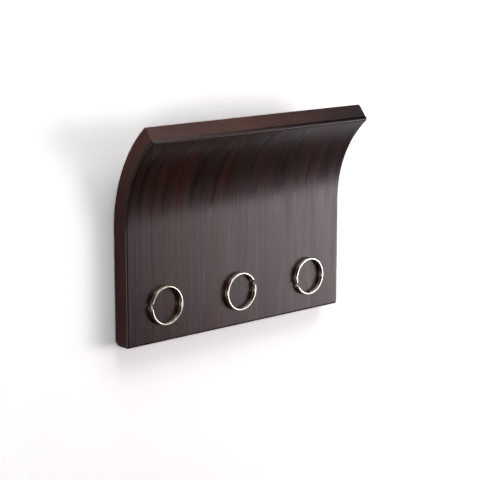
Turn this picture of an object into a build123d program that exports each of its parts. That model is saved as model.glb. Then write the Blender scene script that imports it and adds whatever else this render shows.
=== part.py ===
"""Wall-mounted magnetic key rack with a letter pocket behind its curved top.

One bentwood panel, laminated from five thick plies between two veneers. Its lower half lies flat
on the wall and its upper half curls forward, so letters drop in behind it. Three magnets in blind
bores hold three split key rings on the front. Two keyhole plates in the back hang it on screws.

Frame, in millimetres: +X to the right as a person faces the rack, +Y into the wall, +Z up.
The origin is on the wall plane, midway between the two keyhole entries.
"""
from build123d import *
import math
import os

os.makedirs("parts", exist_ok=True)

# ---- panel ----
panel_width = 241.0
panel_height = 184.0
panel_thickness = 16.9
flat_height = 96.4                # the straight lower half, from the bottom edge up
bend_front_radius = 96.0          # concave front face of the curl
veneer_thickness = 0.6
ply_count = 5
bottom_back_round = 6.0           # the lower edge is eased well back from the wall
profile_round = 2.0               # the other three corners of the profile
end_round = 1.8                   # all round both ends

# ---- hanging ----
hanger_height = 68.0              # keyhole entries above the bottom edge
hanger_spacing = 160.0
plate_length = 40.0
plate_width = 16.0
plate_thickness = 1.6
plate_rise = 3.0                  # plate centre above the keyhole entry
plate_play = 0.15                 # gap round the plate in its recess
entry_radius = 4.5
slot_width = 4.6
slot_rise = 9.0                   # from the entry up to where the wall screw rests
head_room_depth = 7.5             # hollow behind the plate for the wall screw's head
head_room_radius = 5.4
screw_pitch = 30.0                # the two fixing screws of one plate
screw_radius = 1.5
screw_head_radius = 3.1
screw_length = 12.0
screw_tip = 3.0
screw_play = 0.05
driver_slot_width = 0.8
driver_slot_depth = 0.9

# ---- magnets ----
magnet_spacing = 82.0
magnet_height = 30.5              # above the bottom edge
magnet_radius = 12.5
magnet_thickness = 5.0
keeper_thickness = 1.5
bore_radius = 12.7
front_web = 2.1                   # wood left between magnet and front face
plug_play = 0.05
disc_chamfer = 0.4

# ---- split rings ----
ring_outer_radius = 16.6
wire_width = 1.8                  # across the flattened wire, along the ring's radius
wire_depth = 1.95                 # along the ring's axis
wire_round = 0.5
coil_gap = 0.1                    # between the two coils
ring_to_panel = 0.1
step_angle = 18.0                 # where the wire steps from the front coil to the back one
# name, offset from its magnet along X and Z, and the angle of the wire's end in the front coil
ring_places = [
    ("left", 0.7, 0.5, 168.0),
    ("middle", 0.8, -0.4, 15.0),
    ("right", 0.0, 0.9, 195.5),
]

# ---- worked out ----
bottom_z = -hanger_height
bend_z = bottom_z + flat_height
bend_back_radius = bend_front_radius + panel_thickness
bend_centre_y = -bend_back_radius
rise = panel_height - flat_height
bend_angle = math.degrees(math.asin(rise / bend_back_radius))
ply_thickness = (panel_thickness - 2 * veneer_thickness) / ply_count
magnet_z = bottom_z + magnet_height
bore_depth = panel_thickness - front_web
ring_middle_radius = ring_outer_radius - wire_width / 2
ring_depth = 2 * wire_depth + coil_gap
sides = {"left": -1, "middle": 0, "right": 1}
oversize = 3.0                    # how far cutting shapes run past the wood


def on_wall(x, z, y=0.0):
    """A plane with its normal into the wall, at (x, z), and at y from the wall plane."""
    return Plane(origin=(x, y, z), x_dir=(1, 0, 0), z_dir=(0, 1, 0))


def arc_point(radius, angle):
    """A point of the bend, as (y, z), at an angle up from where the flat part ends."""
    y = bend_centre_y + radius * math.cos(math.radians(angle))
    z = bend_z + radius * math.sin(math.radians(angle))
    return (y, z)


def band_profile(depth_from, depth_to, foot, head_angle):
    """The panel's profile between two depths from the front face, down to foot, up to an angle."""
    near = bend_front_radius + depth_from
    far = bend_front_radius + depth_to
    y_near = bend_centre_y + near
    y_far = bend_centre_y + far
    with BuildLine() as outline:
        Polyline((y_near, bend_z), (y_near, foot), (y_far, foot), (y_far, bend_z))
        CenterArc((bend_centre_y, bend_z), far, 0, head_angle)
        Line(arc_point(far, head_angle), arc_point(near, head_angle))
        CenterArc((bend_centre_y, bend_z), near, 0, head_angle)
    return outline


# ---- the glued panel before it is told apart into layers: outline, rounded edges, hollows ----
with BuildPart() as panel_blank:
    with BuildSketch(Plane.YZ.offset(-panel_width / 2)) as panel_profile:
        add(band_profile(0, panel_thickness, bottom_z, bend_angle))
        make_face()
        fillet(panel_profile.vertices().group_by(Axis.Y)[0].sort_by(Axis.X)[-1], bottom_back_round)
        front_foot = panel_profile.vertices().group_by(Axis.Y)[0].sort_by(Axis.X)[0]
        top_corners = panel_profile.vertices().sort_by(Axis.Y)[-2:]
        fillet([front_foot] + list(top_corners), profile_round)
    extrude(amount=panel_width)
    left_end = panel_blank.faces().sort_by(Axis.X)[0]
    right_end = panel_blank.faces().sort_by(Axis.X)[-1]
    fillet(left_end.edges() + right_end.edges(), end_round)

    # blind bores for the magnets
    for side in sides.values():
        with BuildSketch(on_wall(side * magnet_spacing, magnet_z)):
            Circle(bore_radius)
        extrude(amount=-bore_depth, mode=Mode.SUBTRACT)

    # a recess for each keyhole plate, with room behind it for the wall screw's head
    for side in (-1, 1):
        hanger_x = side * hanger_spacing / 2
        with BuildSketch(on_wall(hanger_x, plate_rise)):
            SlotOverall(plate_length + 2 * plate_play, plate_width + 2 * plate_play, rotation=90)
        extrude(amount=-plate_thickness, mode=Mode.SUBTRACT)
        with BuildSketch(on_wall(hanger_x, slot_rise / 2)):
            SlotCenterToCenter(slot_rise, 2 * head_room_radius, rotation=90)
        extrude(amount=-head_room_depth, mode=Mode.SUBTRACT)
        # pilot holes for the plate's two screws
        for end in (-1, 1):
            screw_z = plate_rise + end * screw_pitch / 2
            with BuildSketch(on_wall(hanger_x, screw_z)):
                Circle(screw_radius + screw_play)
            extrude(amount=-(screw_length + screw_play), mode=Mode.SUBTRACT)


def panel_layer(depth_from, depth_to):
    """One glued layer: the blank kept between two depths from the front face."""
    with BuildPart() as layer:
        with BuildSketch(Plane.YZ.offset(-panel_width / 2 - oversize)):
            add(band_profile(depth_from, depth_to, bottom_z - oversize, bend_angle + oversize))
            make_face()
        extrude(amount=panel_width + 2 * oversize)
        add(panel_blank.part, mode=Mode.INTERSECT)
    return layer


# ---- front veneer: the show face ----
front_veneer = panel_layer(-oversize, veneer_thickness)
front_veneer.part.label = "front_veneer"
export_step(front_veneer.part, "parts/front_veneer.step")

# ---- five plies, numbered from the front ----
for number in range(1, ply_count + 1):
    ply_front = veneer_thickness + (number - 1) * ply_thickness
    ply = panel_layer(ply_front, ply_front + ply_thickness)
    ply.part.label = f"ply_{number}"
    export_step(ply.part, f"parts/ply_{number}.step")

# ---- back veneer ----
back_veneer = panel_layer(panel_thickness - veneer_thickness, panel_thickness + oversize)
back_veneer.part.label = "back_veneer"
export_step(back_veneer.part, "parts/back_veneer.step")


def disc(x, front_y, radius, thickness, eased):
    """A round disc in a magnet bore, its front face at front_y."""
    with BuildPart() as round_disc:
        with BuildSketch(on_wall(x, magnet_z, front_y)):
            Circle(radius)
        extrude(amount=thickness)
        if eased:
            chamfer(round_disc.edges().filter_by(GeomType.CIRCLE), disc_chamfer)
    return round_disc


# ---- what each magnet bore holds, from the front: magnet, steel keeper, wooden plug ----
for side_name, side in sides.items():
    bore_x = side * magnet_spacing
    magnet_front = -bore_depth
    keeper_front = magnet_front + magnet_thickness
    plug_front = keeper_front + keeper_thickness

    magnet = disc(bore_x, magnet_front, magnet_radius, magnet_thickness, True)
    magnet.part.label = f"magnet_{side_name}"
    export_step(magnet.part, f"parts/magnet_{side_name}.step")

    keeper = disc(bore_x, keeper_front, magnet_radius, keeper_thickness, False)
    keeper.part.label = f"keeper_{side_name}"
    export_step(keeper.part, f"parts/keeper_{side_name}.step")

    plug = disc(bore_x, plug_front, bore_radius - plug_play, -plug_front, True)
    plug.part.label = f"plug_{side_name}"
    export_step(plug.part, f"parts/plug_{side_name}.step")


def keyhole_plate(x):
    """A steel keyhole plate let in flush with the wall plane, its slot rising from the entry."""
    with BuildPart() as plate:
        with BuildSketch(on_wall(x, plate_rise)):
            SlotOverall(plate_length, plate_width, rotation=90)
        extrude(amount=-plate_thickness)
        with BuildSketch(on_wall(x, 0)):
            Circle(entry_radius)
        extrude(amount=-plate_thickness, mode=Mode.SUBTRACT)
        with BuildSketch(on_wall(x, slot_rise / 2)):
            SlotCenterToCenter(slot_rise, slot_width, rotation=90)
        extrude(amount=-plate_thickness, mode=Mode.SUBTRACT)
        for end in (-1, 1):
            with Locations(on_wall(x, plate_rise + end * screw_pitch / 2)):
                CounterSinkHole(screw_radius + screw_play, screw_head_radius, plate_thickness, 90)
    return plate


# ---- one countersunk wood screw, its head flush with the wall plane at the origin ----
with BuildPart() as wood_screw:
    with BuildSketch(Plane.XY):
        with BuildLine():
            Polyline(
                (0, 0),
                (screw_head_radius - screw_play, 0),
                (screw_radius, -(screw_head_radius - screw_play - screw_radius)),
                (screw_radius, -(screw_length - screw_tip)),
                (0, -screw_length),
                close=True,
            )
        make_face()
    revolve(axis=Axis.Y)
    # cross recess for the driver
    with BuildSketch(on_wall(0, 0)):
        Rectangle(2 * screw_radius, driver_slot_width)
        Rectangle(driver_slot_width, 2 * screw_radius)
    extrude(amount=-driver_slot_depth, mode=Mode.SUBTRACT)

# ---- two keyhole plates, and the pair of screws that holds each ----
for side_name in ("left", "right"):
    hanger_x = sides[side_name] * hanger_spacing / 2
    hanger = keyhole_plate(hanger_x)
    hanger.part.label = f"keyhole_plate_{side_name}"
    export_step(hanger.part, f"parts/keyhole_plate_{side_name}.step")

    with BuildPart() as plate_screws:
        for end in (-1, 1):
            with Locations((hanger_x, 0, plate_rise + end * screw_pitch / 2)):
                add(wood_screw.part)
    plate_screws.part.label = f"plate_screws_{side_name}"
    export_step(plate_screws.part, f"parts/plate_screws_{side_name}.step")


# ---- one split ring, flat on the XY plane and centred on +Z: two coils of one flattened wire ----
# Seen from the front, both coils run clockwise from angle 0. The step climbs anticlockwise from
# the back coil's start to the front coil's far end, so each coil has one free end beside it.
clockwise = Axis((0, 0, 0), (0, 0, -1))
back_coil_z = wire_depth / 2
front_coil_z = back_coil_z + wire_depth + coil_gap
step_climb = front_coil_z - back_coil_z
with BuildPart() as split_ring:
    with BuildSketch(Plane.XZ):
        with Locations((ring_middle_radius, front_coil_z), (ring_middle_radius, back_coil_z)):
            RectangleRounded(wire_width, wire_depth, wire_round)
    revolve(axis=clockwise, revolution_arc=360 - step_angle)
    with BuildLine() as step_path:
        Helix(
            step_climb * 360 / step_angle,
            step_climb,
            ring_middle_radius,
            center=(0, 0, back_coil_z),
        )
    with BuildSketch(Plane.XZ):
        with Locations((ring_middle_radius, back_coil_z)):
            RectangleRounded(wire_width, wire_depth, wire_round)
    sweep(path=step_path.wire(), is_frenet=True)

# ---- three split rings, flat against the panel's front over their magnets ----
# The ring is turned about its own axis by its free end's angle, then stood up to face the person.
for side_name, shift_x, shift_z, end_angle in ring_places:
    ring_x = sides[side_name] * magnet_spacing + shift_x
    ring_z = magnet_z + shift_z
    ring_back_y = -panel_thickness - ring_to_panel
    ring_plane = Plane(origin=(ring_x, ring_back_y, ring_z), x_dir=(1, 0, 0), z_dir=(0, -1, 0))
    with BuildPart(ring_plane) as ring:
        with Locations(Rot(0, 0, end_angle)):
            add(split_ring.part)
    ring.part.label = f"ring_{side_name}"
    export_step(ring.part, f"parts/ring_{side_name}.step")
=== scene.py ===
import math

import bpy
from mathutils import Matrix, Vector


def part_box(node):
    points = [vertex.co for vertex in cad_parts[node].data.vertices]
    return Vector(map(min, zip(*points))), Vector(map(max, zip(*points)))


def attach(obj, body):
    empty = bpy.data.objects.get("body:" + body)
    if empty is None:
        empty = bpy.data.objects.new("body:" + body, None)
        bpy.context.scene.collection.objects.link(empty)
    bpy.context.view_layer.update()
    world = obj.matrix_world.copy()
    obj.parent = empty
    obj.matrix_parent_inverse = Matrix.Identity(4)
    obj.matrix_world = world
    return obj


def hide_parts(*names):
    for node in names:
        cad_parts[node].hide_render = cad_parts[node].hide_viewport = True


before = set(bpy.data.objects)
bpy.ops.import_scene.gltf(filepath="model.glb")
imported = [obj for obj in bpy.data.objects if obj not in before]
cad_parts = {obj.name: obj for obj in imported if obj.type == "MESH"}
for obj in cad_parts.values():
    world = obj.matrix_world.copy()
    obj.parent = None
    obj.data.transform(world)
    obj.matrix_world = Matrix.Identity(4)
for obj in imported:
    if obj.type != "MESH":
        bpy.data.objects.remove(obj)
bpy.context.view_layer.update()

MM = 0.001

# ---- the bent board, as the materials take it: flat below, curled forward above ----
VENEER = 0.6 * MM
PLY = 3.14 * MM
BOARD = 2 * VENEER + 5 * PLY                      # whole thickness of the board
FLAT_HEIGHT = 96.4 * MM                           # from the bottom edge up to the bend
BEND_RADIUS = 96 * MM                             # concave front face of the curl
BEND_CENTRE_Y = -(BEND_RADIUS + BOARD)
END_ROUND = 1.8 * MM                              # all round both ends
back_veneer_low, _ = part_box("back_veneer")
_, front_veneer_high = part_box("front_veneer")
VENEER_HALF_WIDTH = front_veneer_high.x
# The back veneer stops 3.4 mm short of the bottom edge, where that is rounded off. So the
# materials' bend starts 3.4 mm above the board's own, and their depth drifts up the curl, by
# 2.6 mm at the tip.
BEND_Z = back_veneer_low.z + FLAT_HEIGHT


# ---- short calls for building the nodes of one material, or of the world ----
MIX_FIRST = 6                                     # a Mix node's inputs for colours
MIX_SECOND = 7
MIX_RESULT = 2                                    # and its output


class Shader:
    def __init__(self, owner):
        self.owner = owner
        owner.use_nodes = True
        self.tree = owner.node_tree
        self.tree.nodes.clear()

    def node(self, kind, **settings):
        made = self.tree.nodes.new("ShaderNode" + kind)
        for key, value in settings.items():
            setattr(made, key, value)
        return made

    def put(self, value, socket):
        if isinstance(value, bpy.types.NodeSocket):
            self.tree.links.new(value, socket)
        else:
            socket.default_value = value

    def math(self, operation, *values):
        made = self.node("Math", operation=operation)
        for value, socket in zip(values, made.inputs):
            self.put(value, socket)
        return made.outputs[0]

    def scaled(self, value, factor, shift=0.0):
        return self.math("MULTIPLY_ADD", value, factor, shift)

    def weighted(self, total, *pairs):
        """The total with each value of the pairs added, times its weight."""
        for value, weight in pairs:
            total = self.math("MULTIPLY_ADD", value, weight, total)
        return total

    def length(self, first, second):
        squares = (self.math("MULTIPLY", value, value) for value in (first, second))
        return self.math("SQRT", self.math("ADD", *squares))

    def ramp(self, value, start, end, low=0.0, high=1.0, how="SMOOTHSTEP"):
        """Goes from low to high as value goes from start to end."""
        made = self.node("MapRange", interpolation_type=how)
        for key, number in zip(("Value", "From Min", "From Max", "To Min", "To Max"),
                               (value, start, end, low, high)):
            self.put(number, made.inputs[key])
        return made.outputs["Result"]

    def point(self):
        coordinates = self.node("TexCoord")
        split = self.node("SeparateXYZ")
        self.put(coordinates.outputs["Object"], split.inputs[0])
        return split.outputs[0], split.outputs[1], split.outputs[2]

    def vector(self, x, y, z):
        made = self.node("CombineXYZ")
        for value, socket in zip((x, y, z), made.inputs):
            self.put(value, socket)
        return made.outputs[0]

    def noise(self, place, cell, shift=0.0, detail=2.0, roughness=0.5, w=None):
        """Noise with cells of this size along each coordinate of place. Noises with different
        shifts don't line up. w is one more coordinate, already in cells."""
        made = self.node("TexNoise", noise_dimensions="3D" if w is None else "4D")
        steps = (self.scaled(value, 1 / size, shift) for value, size in zip(place, cell))
        self.put(self.vector(*steps), made.inputs["Vector"])
        if w is not None:
            self.put(w, made.inputs["W"])
        self.put(1.0, made.inputs["Scale"])
        self.put(detail, made.inputs["Detail"])
        self.put(roughness, made.inputs["Roughness"])
        return made.outputs[0]

    def mix(self, factor, first, second):
        made = self.node("Mix", data_type="RGBA", blend_type="MIX")
        self.put(factor, made.inputs[0])
        for value, index in ((first, MIX_FIRST), (second, MIX_SECOND)):
            colour = value if isinstance(value, bpy.types.NodeSocket) else (*value, 1.0)
            self.put(colour, made.inputs[index])
        return made.outputs[MIX_RESULT]

    def shade(self, colour, amount):
        """The colour made lighter or darker by the factor amount."""
        made = self.node("VectorMath", operation="SCALE")
        self.put(colour, made.inputs[0])
        self.put(amount, made.inputs["Scale"])
        return made.outputs[0]

    def vary(self, colour, value, start, end, low, high):
        """The colour shaded by low to high as value goes from start to end."""
        return self.shade(colour, self.ramp(value, start, end, low, high))

    def bump(self, height, distance):
        made = self.node("Bump")
        self.put(height, made.inputs["Height"])
        self.put(distance, made.inputs["Distance"])
        return made.outputs["Normal"]

    def principled(self, colour, roughness, normal, **constants):
        """Ends a material with a Principled surface, and returns the material."""
        body = self.node("BsdfPrincipled")
        out = self.node("OutputMaterial")
        self.put(colour, body.inputs["Base Color"])
        self.put(roughness, body.inputs["Roughness"])
        self.put(normal, body.inputs["Normal"])
        for key, number in constants.items():
            body.inputs[key].default_value = number
        self.put(body.outputs[0], out.inputs["Surface"])
        return self.owner


def new_shader(name):
    return Shader(bpy.data.materials.new(name))


def board_place(sh):
    """Across the board, along its grain up and round the curl, and depth behind the front face."""
    x, y, z = sh.point()
    above = sh.math("MAXIMUM", sh.scaled(z, 1, -BEND_Z), 0)
    forward = sh.scaled(y, 1, -BEND_CENTRE_Y)
    angle = sh.math("ARCTAN2", above, forward)
    along = sh.weighted(sh.math("MINIMUM", z, BEND_Z), (angle, BEND_RADIUS))
    return x, along, sh.scaled(sh.length(above, forward), 1, -BEND_RADIUS)


# ---- dark stained veneer: straight grain with a few redder bands ----
# Its noises' cells are across the board, along its grain, and through it. They are so deep that
# a veneer looks the same all through.
DEEP = 1.0
SWAY_CELL = (70 * MM, 110 * MM, DEEP)
BROAD_CELL = (15 * MM, 260 * MM, DEEP)
STREAK_CELL = (4.2 * MM, 210 * MM, DEEP)
FIGURE_CELL = (8 * MM, 70 * MM, DEEP)
FIBRE_CELL = (0.9 * MM, 34 * MM, DEEP)
PORE_CELL = (0.3 * MM, 5 * MM, DEEP)
GRAIN_SWAY = 3 * MM                               # how far the grain wanders to either side
NOISE_ROUGHNESS = 0.27                            # what the noises add to the roughness on average
VENEER_RELIEF = 0.06 * MM
LACQUER_IOR = 1.5
# the redder bands on the face, as (centre across the board, half width)
RED_BANDS = ((-92 * MM, 3.5 * MM), (-70 * MM, 9 * MM), (-21 * MM, 6 * MM),
             (20.5 * MM, 4.5 * MM), (73 * MM, 6 * MM))
BAND_REDNESS = 0.85                               # at a band's centre
BAND_FALL = 0.4                                   # what is left of it at the half width


def veneer(name, cool, warm, roughness, bands=()):
    """cool and warm are the stain's colours where it is least and most red."""
    sh = new_shader(name)
    x, along, depth = board_place(sh)
    sway = sh.scaled(sh.noise((x, along, depth), SWAY_CELL), 2 * GRAIN_SWAY, -GRAIN_SWAY)
    swayed = sh.math("ADD", x, sway)
    place = (swayed, along, depth)
    broad = sh.noise(place, BROAD_CELL, shift=3.7)
    streak = sh.noise(place, STREAK_CELL, shift=9.1)
    figure = sh.noise(place, FIGURE_CELL, shift=6.3)
    fibre = sh.noise(place, FIBRE_CELL, shift=1.3, detail=3.0, roughness=0.65)
    pores = sh.noise(place, PORE_CELL, shift=5.9, detail=1.0)
    pit = sh.ramp(pores, 0.62, 0.76)
    redness = sh.ramp(broad, 0.42, 0.72, 0.08, 0.42)
    for centre, half_width in bands:
        off = sh.scaled(swayed, 1 / half_width, -centre / half_width)
        band = sh.math("POWER", BAND_FALL, sh.math("MULTIPLY", off, off))
        redness = sh.weighted(redness, (band, BAND_REDNESS))
    redness = sh.math("MULTIPLY", redness, sh.ramp(streak, 0.28, 0.70, 0.80, 1.06))
    tone = sh.mix(sh.math("MINIMUM", redness, 1.0), cool, warm)
    tone = sh.vary(tone, streak, 0.30, 0.70, 0.93, 1.08)
    tone = sh.vary(tone, figure, 0.30, 0.70, 0.94, 1.06)
    tone = sh.vary(tone, fibre, 0.30, 0.70, 0.92, 1.09)
    tone = sh.shade(tone, sh.scaled(pit, -0.2, 1.0))
    # the lacquer is rubbed a little thinner where the face rolls over into the ends
    past_face = sh.scaled(sh.math("ABSOLUTE", x), 1, -(VENEER_HALF_WIDTH - END_ROUND))
    rub = sh.math("MULTIPLY", sh.ramp(past_face, -0.6 * MM, 1.2 * MM), sh.ramp(streak, 0.35, 0.65))
    tone = sh.shade(tone, sh.scaled(rub, 0.35, 1.0))
    height = sh.weighted(0.0, (fibre, 0.45), (pit, -0.12), (streak, 0.8), (figure, 1.2))
    rough = sh.weighted(roughness - NOISE_ROUGHNESS, (fibre, 0.16), (streak, 0.16), (figure, 0.22))
    rough = sh.weighted(rough, (pit, 0.05), (rub, 0.08))
    return sh.principled(tone, rough, sh.bump(height, VENEER_RELIEF), IOR=LACQUER_IOR)


# ---- edges of the plies, stained to match: long grain on one side, end grain on the other ----
# cells across the board, along its grain up and round the curl, and through it
GRAIN_UP_CELL = (26 * MM, 18 * MM, 0.45 * MM)
GRAIN_ACROSS_CELL = (22 * MM, 1.1 * MM, 0.45 * MM)
EDGE_SPECK_CELL = (0.5 * MM, 0.5 * MM, 0.4 * MM)
EDGE_BROAD_CELL = (30 * MM, 26 * MM, 9 * MM)
EDGE_DARK = (0.038, 0.0085, 0.0045)
EDGE_LIGHT = (0.057, 0.0127, 0.0067)
EDGE_RELIEF = 0.05 * MM
EDGE_IOR = 1.44
FADE_START = BEND_Z + 17.5 * MM                   # along the grain, up the curl
FADE_END = BEND_Z + 63.5 * MM
FADE_RIGHT = 110 * MM                             # across the board
FADE_LEFT = -30 * MM
CORNER_START = 0.7 * MM                           # depth behind either face
CORNER_END = 1.7 * MM                             # of the front corner
BACK_CORNER_END = 1.5 * MM
CORNER_DARKENING = 0.72
CORNER_POLISH = 0.5
GLUE_LINE = 0.045                                 # half width, in thicknesses of a ply


def ply_edge(name, grain_cell, lightness):
    """lightness scales the stain's tones, and it also moves the grain's noise."""
    sh = new_shader(name)
    x, along, depth = place = board_place(sh)
    grain = sh.noise(place, grain_cell, shift=10 * lightness, detail=3.0, roughness=0.6)
    speck = sh.noise(place, EDGE_SPECK_CELL, shift=4.0)
    broad = sh.noise(place, EDGE_BROAD_CELL, shift=8.0)
    tone = sh.mix(sh.ramp(broad, 0.35, 0.65), EDGE_DARK, EDGE_LIGHT)
    tone = sh.vary(tone, grain, 0.28, 0.72, 0.8 * lightness, 1.2 * lightness)
    tone = sh.vary(tone, speck, 0.3, 0.7, 0.88, 1.12)
    # painted light and shade: up the curl the ply edges are painted lighter towards the left end and
    # darker towards the right, as the lamps light them
    up_curl = sh.ramp(along, FADE_START, FADE_END)
    painted_light_and_shade = sh.ramp(x, FADE_RIGHT, FADE_LEFT, -0.60, 0.50)
    tone = sh.shade(tone, sh.weighted(1.0, (up_curl, painted_light_and_shade)))
    # a thin glue line at each joint between plies takes the stain differently
    layer = sh.math("FRACT", sh.scaled(depth, 1 / PLY, -VENEER / PLY))
    from_joint = sh.math("MINIMUM", layer, sh.scaled(layer, -1, 1))
    tone = sh.vary(tone, from_joint, 0.0, GLUE_LINE, 0.78, 1.0)
    # the rounded corners are as dark as the veneers beside them, and the front one is polished
    corner = sh.ramp(depth, CORNER_START, CORNER_END, 1.0, 0.0)
    tone = sh.shade(tone, sh.scaled(corner, -CORNER_DARKENING, 1.0))
    tone = sh.vary(tone, depth, BOARD - BACK_CORNER_END, BOARD - CORNER_START, 1.0, 0.4)
    rough = sh.weighted(0.30, (speck, 0.1), (grain, 0.16))
    rough = sh.math("MULTIPLY", rough, sh.scaled(corner, -CORNER_POLISH, 1.0))
    height = sh.weighted(0.0, (speck, 0.3), (grain, 0.8))
    return sh.principled(tone, rough, sh.bump(height, EDGE_RELIEF), IOR=EDGE_IOR)


# ---- small wooden plugs at the back, end grain outwards with growth rings ----
PLUG_DARK = (0.060, 0.028, 0.018)
PLUG_LIGHT = (0.105, 0.052, 0.033)
GROWTH_RING = 2.1 * MM
PLUG_SWAY_CELL = (9 * MM,) * 3
PLUG_SPECK_CELL = (0.35 * MM,) * 3
PLUG_RELIEF = 0.05 * MM


def plug_wood():
    sh = new_shader("plug_end_grain")
    x, y, z = place = sh.point()
    sway = sh.noise(place, PLUG_SWAY_CELL)
    phase = sh.scaled(z, 2 * math.pi / GROWTH_RING)
    ring = sh.math("SINE", sh.weighted(phase, (sway, 7.0)))
    speck = sh.noise(place, PLUG_SPECK_CELL)
    tone = sh.mix(sh.ramp(ring, -0.8, 0.9), PLUG_DARK, PLUG_LIGHT)
    tone = sh.vary(tone, speck, 0.3, 0.7, 0.75, 1.2)
    height = sh.weighted(speck, (ring, 0.25))
    return sh.principled(tone, sh.scaled(speck, 0.25, 0.38), sh.bump(height, PLUG_RELIEF), IOR=LACQUER_IOR)


# ---- pressed, plated or plain metal parts ----
SCRATCH_RELIEF = 0.02 * MM
METAL_WEAR = 0.25                                 # how much the scratches change the tone
METAL_UNEVENNESS = 0.16                           # how much scratches and blotches dull it


def brushed_metal(name, light, dark, rough, scratch_cell, blotch_size=4 * MM):
    """rough is the roughness on average. scratch_cell is the fine scratches' size in X, Y and Z."""
    sh = new_shader(name)
    place = sh.point()
    scratch = sh.noise(place, scratch_cell, detail=3.0, roughness=0.7)
    blotch = sh.noise(place, (blotch_size,) * 3, shift=2.0, detail=3.0, roughness=0.6)
    tone = sh.mix(sh.ramp(blotch, 0.35, 0.68), dark, light)
    tone = sh.vary(tone, scratch, 0.25, 0.75, 1 - METAL_WEAR / 2, 1 + METAL_WEAR / 2)
    roughness = sh.weighted(rough - METAL_UNEVENNESS,
                            (blotch, METAL_UNEVENNESS), (scratch, METAL_UNEVENNESS))
    return sh.principled(tone, roughness, sh.bump(scratch, SCRATCH_RELIEF), Metallic=1.0)


NICKEL_DARK = (0.84, 0.79, 0.68)
NICKEL_LIGHT = (0.94, 0.90, 0.80)
# colour of the painted shade in the seam between the coils
SEAM_SHADE = (0.16, 0.13, 0.10)
SEAM_START = 0.12                                 # from the seam, in wire depths
SEAM_END = 0.34
DRAWN_LINE = 0.22 * MM                            # width of the fine lines along the wire
DRAWN_LENGTH = 7 * MM
SPOT_CELL = (2.2 * MM,) * 3
LINE_RELIEF = 0.004 * MM


def ring_nickel(wire_depth):
    """Bright nickel on drawn wire: fine lines along the wire, rougher and with painted shade in the seam
    between coils.
    """
    sh = new_shader("ring_bright_nickel")
    x, y, z = sh.point()
    radius_in_lines = sh.scaled(sh.length(x, z), 1 / DRAWN_LINE)
    lines = sh.noise((x, z, y), (DRAWN_LENGTH, DRAWN_LENGTH, DRAWN_LINE), detail=3.0, roughness=0.65,
                     w=radius_in_lines)
    spots = sh.noise((x, y, z), SPOT_CELL, detail=3.0, roughness=0.6)
    from_seam = sh.math("ABSOLUTE", y)
    # painted shade: the wire is painted darker in the seam between the two coils, and is also rougher
    # there
    seam_shade_and_dulling = sh.ramp(from_seam, SEAM_START * wire_depth, SEAM_END * wire_depth, 1.0, 0.0)
    tone = sh.mix(sh.ramp(spots, 0.38, 0.66), NICKEL_DARK, NICKEL_LIGHT)
    tone = sh.vary(tone, lines, 0.25, 0.75, 0.9, 1.06)
    tone = sh.mix(sh.scaled(seam_shade_and_dulling, 0.75), tone, SEAM_SHADE)
    rough = sh.weighted(0.13, (spots, 0.08), (lines, 0.08), (seam_shade_and_dulling, 0.25))
    return sh.principled(tone, rough, sh.bump(lines, LINE_RELIEF), Metallic=1.0)


show_veneer = veneer("show_veneer_espresso", cool=(0.0222, 0.0082, 0.0055),
                     warm=(0.0465, 0.0108, 0.0062), roughness=0.30, bands=RED_BANDS)
rear_veneer = veneer("rear_veneer_espresso", cool=(0.028, 0.0125, 0.0092),
                     warm=(0.045, 0.0160, 0.0102), roughness=0.42)
ply_up = ply_edge("ply_edge_grain_up", GRAIN_UP_CELL, lightness=1.0)
ply_across = ply_edge("ply_edge_grain_across", GRAIN_ACROSS_CELL, lightness=0.93)
zinc = brushed_metal("zinc_plate", light=(0.62, 0.61, 0.57), dark=(0.50, 0.50, 0.48), rough=0.36,
                     scratch_cell=(0.25 * MM, 3 * MM, 6 * MM))
screw_zinc = brushed_metal("zinc_screw", light=(0.60, 0.58, 0.52), dark=(0.47, 0.45, 0.40), rough=0.32,
                           scratch_cell=(1.5 * MM, 0.2 * MM, 1.5 * MM), blotch_size=2 * MM)
magnet_plating = brushed_metal("magnet_plating", light=(0.66, 0.65, 0.62), dark=(0.58, 0.57, 0.55),
                               rough=0.26, scratch_cell=(1.2 * MM, 1.2 * MM, 1.2 * MM))
keeper_plate = brushed_metal("keeper_plate", light=(0.50, 0.50, 0.51), dark=(0.38, 0.38, 0.40),
                             rough=0.40, scratch_cell=(0.3 * MM, 2 * MM, 8 * MM))
plug_face = plug_wood()

MATERIAL_OF = {                                   # by a node's whole name, or its first word
    "front_veneer": show_veneer, "back_veneer": rear_veneer,
    "ply_1": ply_up, "ply_3": ply_up, "ply_5": ply_up, "ply_2": ply_across, "ply_4": ply_across,
    "magnet": magnet_plating, "keeper": keeper_plate, "plug": plug_face,
    "keyhole": zinc, "plate": screw_zinc,
}
for node_name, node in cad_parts.items():
    dressed = MATERIAL_OF.get(node_name) or MATERIAL_OF.get(node_name.split("_")[0])
    if dressed:
        node.data.materials.clear()
        node.data.materials.append(dressed)


# ---- split rings: one flattened wire wound twice, with a joggle from the front coil to the back ----
WIRE_WIDTH = 1.8 * MM                             # along the ring's radius
WIRE_DEPTH = 1.95 * MM                            # along the ring's axis
JOGGLE = math.radians(18)
SECTION_POINTS = 36
SECTION_SQUARENESS = 3.0                          # 2 is an ellipse, more is squarer
SWEEP_STEP = math.radians(1.5)
END_TAPER = 0.9 * MM                              # the cut ends are tumbled round
END_RINGS = 6
CUT_FACE = 0.55                                   # size of the cut face, against the wire's section
FREE_END = {"ring_left": math.radians(168), "ring_middle": math.radians(15),
            "ring_right": math.radians(195.5)}    # of the front coil, from +X towards +Z


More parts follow.
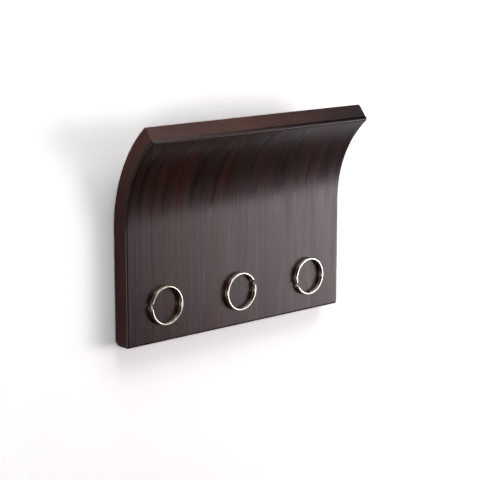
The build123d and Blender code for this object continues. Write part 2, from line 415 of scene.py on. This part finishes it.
def wire_section(scale):
    """Points round the flattened wire, as (along the radius, along the axis)."""
    points = []
    for k in range(SECTION_POINTS):
        turn = 2 * math.pi * k / SECTION_POINTS
        c, s = math.cos(turn), math.sin(turn)
        size = (abs(c) ** SECTION_SQUARENESS + abs(s) ** SECTION_SQUARENESS) ** (-1 / SECTION_SQUARENESS)
        points.append((scale * WIRE_WIDTH / 2 * c * size, scale * WIRE_DEPTH / 2 * s * size))
    return points


def coil_depth(turned, front_y, back_y):
    """Where the wire's middle is along Y after this much turning from its front free end."""
    share = (turned - (2 * math.pi - JOGGLE)) / JOGGLE
    share = min(max(share, 0.0), 1.0)
    eased = share * share * (3 - 2 * share)
    return front_y + (back_y - front_y) * eased


def wire_stations(length, taper):
    """(angle turned, size) along the wire: rounded at both cut ends, even between them."""
    start = []
    for k in range(1, END_RINGS + 1):
        lean = math.pi / 2 * k / END_RINGS
        start.append((taper * (1 - math.cos(lean)), CUT_FACE + (1 - CUT_FACE) * math.sin(lean)))
    count = math.ceil((length - 2 * taper) / SWEEP_STEP)
    middle = [(taper + (length - 2 * taper) * k / count, 1.0) for k in range(1, count)]
    return start + middle + [(length - turned, size) for turned, size in reversed(start)]


def split_ring(node_name, material):
    low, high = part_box(node_name)
    centre = (low + high) / 2
    middle_radius = (high.x - low.x) / 2 - WIRE_WIDTH / 2
    front_y = low.y - centre.y + WIRE_DEPTH / 2
    back_y = high.y - centre.y - WIRE_DEPTH / 2
    length = 2 * (2 * math.pi - JOGGLE) + JOGGLE
    stations = wire_stations(length, END_TAPER / middle_radius)
    verts, faces = [], []
    for turned, size in stations:
        angle = FREE_END[node_name] - turned
        middle_y = coil_depth(turned, front_y, back_y)
        for across, axial in wire_section(size):
            radius = middle_radius + across
            verts.append((radius * math.cos(angle), middle_y + axial, radius * math.sin(angle)))
    for k in range(len(stations) - 1):
        for i in range(SECTION_POINTS):
            j = (i + 1) % SECTION_POINTS
            a, b = k * SECTION_POINTS, (k + 1) * SECTION_POINTS
            faces.append((a + i, a + j, b + j, b + i))
    last = (len(stations) - 1) * SECTION_POINTS
    faces.append(tuple(reversed(range(SECTION_POINTS))))
    faces.append(tuple(range(last, last + SECTION_POINTS)))
    mesh = bpy.data.meshes.new(node_name + "_wire")
    mesh.from_pydata(verts, [], faces)
    mesh.validate()
    mesh.polygons.foreach_set("use_smooth", [True] * len(mesh.polygons))
    mesh.materials.append(material)
    ring = bpy.data.objects.new(node_name + "_wire", mesh)
    bpy.context.scene.collection.objects.link(ring)
    ring.location = centre
    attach(ring, node_name)
    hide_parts(node_name)


nickel = ring_nickel(WIRE_DEPTH)
for node_name in FREE_END:
    split_ring(node_name, nickel)


# ---- camera, at the photograph's angle ----
CAMERA_TURN = math.radians(42.04)                 # to the left of straight on
CAMERA_RISE = math.radians(11.26)
CAMERA_DISTANCE = 1.387
CAMERA_LENS = 120.3
CAMERA_SENSOR = 36
CAMERA_TARGET = Vector((17.2, 0, 1.8)) * MM
scene = bpy.context.scene
camera = bpy.data.objects.new("camera", bpy.data.cameras.new("camera"))
camera.data.lens = CAMERA_LENS
camera.data.sensor_width = CAMERA_SENSOR
scene.collection.objects.link(camera)


def direction(turn, rise):
    """The way to something turn right of straight ahead of the rack and rise above it."""
    return Vector((math.sin(turn) * math.cos(rise), -math.cos(turn) * math.cos(rise), math.sin(rise)))


towards_camera = direction(-CAMERA_TURN, CAMERA_RISE)
camera.location = CAMERA_TARGET + towards_camera * CAMERA_DISTANCE
camera.rotation_mode = "QUATERNION"
camera.rotation_quaternion = (-towards_camera).to_track_quat("-Z", "Y")
scene.camera = camera
scene.view_settings.view_transform = "Standard"


# ---- the wall that the rack hangs on, and the floor ----
WALL_GAP = 0.6 * MM
WALL_HALF = 0.85                                  # no longer, or side views show its dim far end
WALL_TOP = 1.4
FLOOR_Z = -1.0
FLOOR_FRONT = -2.4
WALL_WHITE = (0.86, 0.86, 0.86)
WALL_LIFT = 2.4                                   # how many times lighter the camera sees it
FLOOR_WHITE = (0.78, 0.78, 0.77)
FLOOR_LIFT = 14.0                                 # the same for the floor, which gets little light
MIRRORED_LIFT = 0.15                              # share of the lift that mirror images of it get
CLEAR_NEARER_THAN = 60 * MM
NEAR_CLEARNESS = 0.35
PAINT_CELL = (40 * MM,) * 3


def stage_quad(name, corners, material):
    mesh = bpy.data.meshes.new(name)
    mesh.from_pydata(corners, [], [(0, 1, 2, 3)])
    mesh.materials.append(material)
    made = bpy.data.objects.new(name, mesh)
    scene.collection.objects.link(made)
    return made


def plaster(name, tone, lift):
    """Plain matt white paint. In the picture it comes out lift times lighter, as a backdrop with
    a light of its own would, and mirrored in the rack it gets a share of that. It is clear from
    behind, so that the rack's back can be seen, and partly clear close by, so that light from
    behind reaches the rack."""
    sh = new_shader(name)
    body = sh.node("BsdfDiffuse")
    grain = sh.noise(sh.point(), PAINT_CELL, detail=3.0)
    path = sh.node("LightPath")
    in_picture = path.outputs["Is Camera Ray"]
    in_mirror = sh.scaled(path.outputs["Is Glossy Ray"], MIRRORED_LIFT)
    lifted = sh.scaled(sh.math("MAXIMUM", in_picture, in_mirror), lift - 1, 1.0)
    lifted = sh.math("MULTIPLY", lifted, sh.ramp(grain, 0.3, 0.7, 0.985, 1.0))
    sh.put(sh.shade(tone, lifted), body.inputs["Color"])
    near = sh.math("LESS_THAN", path.outputs["Ray Length"], CLEAR_NEARER_THAN)
    near = sh.math("MULTIPLY", near, sh.scaled(in_picture, -NEAR_CLEARNESS, NEAR_CLEARNESS))
    behind = sh.node("NewGeometry").outputs["Backfacing"]
    clear = sh.node("BsdfTransparent")
    choose = sh.node("MixShader")
    out = sh.node("OutputMaterial")
    sh.put(sh.math("MAXIMUM", behind, near), choose.inputs[0])
    sh.put(body.outputs[0], choose.inputs[1])
    sh.put(clear.outputs[0], choose.inputs[2])
    sh.put(choose.outputs[0], out.inputs["Surface"])
    return sh.owner


wall_corners = [(-WALL_HALF, WALL_GAP, FLOOR_Z), (WALL_HALF, WALL_GAP, FLOOR_Z),
                (WALL_HALF, WALL_GAP, WALL_TOP), (-WALL_HALF, WALL_GAP, WALL_TOP)]
wall = stage_quad("wall", wall_corners, plaster("wall_paint", WALL_WHITE, WALL_LIFT))
wall.visible_shadow = False
floor_corners = [(-WALL_HALF, FLOOR_FRONT, FLOOR_Z), (WALL_HALF, FLOOR_FRONT, FLOOR_Z),
                 (WALL_HALF, WALL_GAP, FLOOR_Z), (-WALL_HALF, WALL_GAP, FLOOR_Z)]
floor = stage_quad("floor", floor_corners, plaster("floor_paint", FLOOR_WHITE, FLOOR_LIFT))
floor.visible_glossy = False                      # the studio is dark below the rack
floor.visible_diffuse = False


# ---- soft studio light ----
LIT_PLACE = Vector((0, 0, 20)) * MM


def softbox(name, turn, rise, distance, width, height, radiance, tint=(1, 1, 1)):
    """A soft light turn degrees right of straight ahead and rise degrees up, facing the rack."""
    lamp = bpy.data.lights.new(name, "AREA")
    lamp.shape = "RECTANGLE"
    lamp.size = width
    lamp.size_y = height
    lamp.energy = radiance * width * height * math.pi
    lamp.color = tint
    made = bpy.data.objects.new(name, lamp)
    scene.collection.objects.link(made)
    away = direction(math.radians(turn), math.radians(rise))
    made.location = LIT_PLACE + away * distance
    made.rotation_mode = "QUATERNION"
    made.rotation_quaternion = away.to_track_quat("Z", "Y")


KEY_TINT = (1.0, 0.90, 0.925)
KEY_FAR_TINT = (1.0, 0.925, 0.965)
softbox("key", turn=49, rise=-4.5, distance=1.4, width=0.56, height=0.7, radiance=3.35, tint=KEY_TINT)
softbox("key_far", turn=64, rise=-6, distance=1.4, width=0.55, height=0.75, radiance=3.6,
        tint=KEY_FAR_TINT)
softbox("key_soft", turn=62, rise=-2, distance=1.2, width=0.8, height=1.4, radiance=0.18)
softbox("front", turn=15, rise=14, distance=1.8, width=1.4, height=1.4, radiance=0.4)
softbox("left_up", turn=-25, rise=48, distance=1.2, width=0.4, height=0.4, radiance=2.0)
softbox("top_right", turn=40, rise=47, distance=1.2, width=0.5, height=0.6, radiance=2.5)
softbox("top_left", turn=-30, rise=72, distance=0.9, width=0.7, height=0.6, radiance=2.0)
softbox("left", turn=-66, rise=-11, distance=1.1, width=0.7, height=0.34, radiance=3.0)
softbox("low_right", turn=88, rise=-30, distance=1.3, width=0.8, height=0.8, radiance=0.12)
softbox("behind_left", turn=-165, rise=30, distance=1.4, width=1.0, height=1.0, radiance=2.2)
softbox("behind_right", turn=138, rise=-6, distance=1.4, width=1.1, height=1.1, radiance=1.1)


# ---- the world: plain white in the picture, a faint glow from above for the rest ----
SKY_STRENGTH = 0.01
world = bpy.data.worlds.new("studio")
scene.world = world
sky = Shader(world)
up = sky.node("SeparateXYZ")
sky.put(sky.node("TexCoord").outputs["Generated"], up.inputs[0])
soft_sky = sky.node("Background")
sky.put(sky.ramp(up.outputs[2], -0.45, 0.35, 0.15, 1.0, how="LINEAR"), soft_sky.inputs["Color"])
sky.put(SKY_STRENGTH, soft_sky.inputs["Strength"])
seen_sky = sky.node("Background")
sky.put((1, 1, 1, 1), seen_sky.inputs["Color"])
pick = sky.node("MixShader")
sky.put(sky.node("LightPath").outputs["Is Camera Ray"], pick.inputs[0])
sky.put(soft_sky.outputs[0], pick.inputs[1])
sky.put(seen_sky.outputs[0], pick.inputs[2])
sky.put(pick.outputs[0], sky.node("OutputWorld").inputs["Surface"])
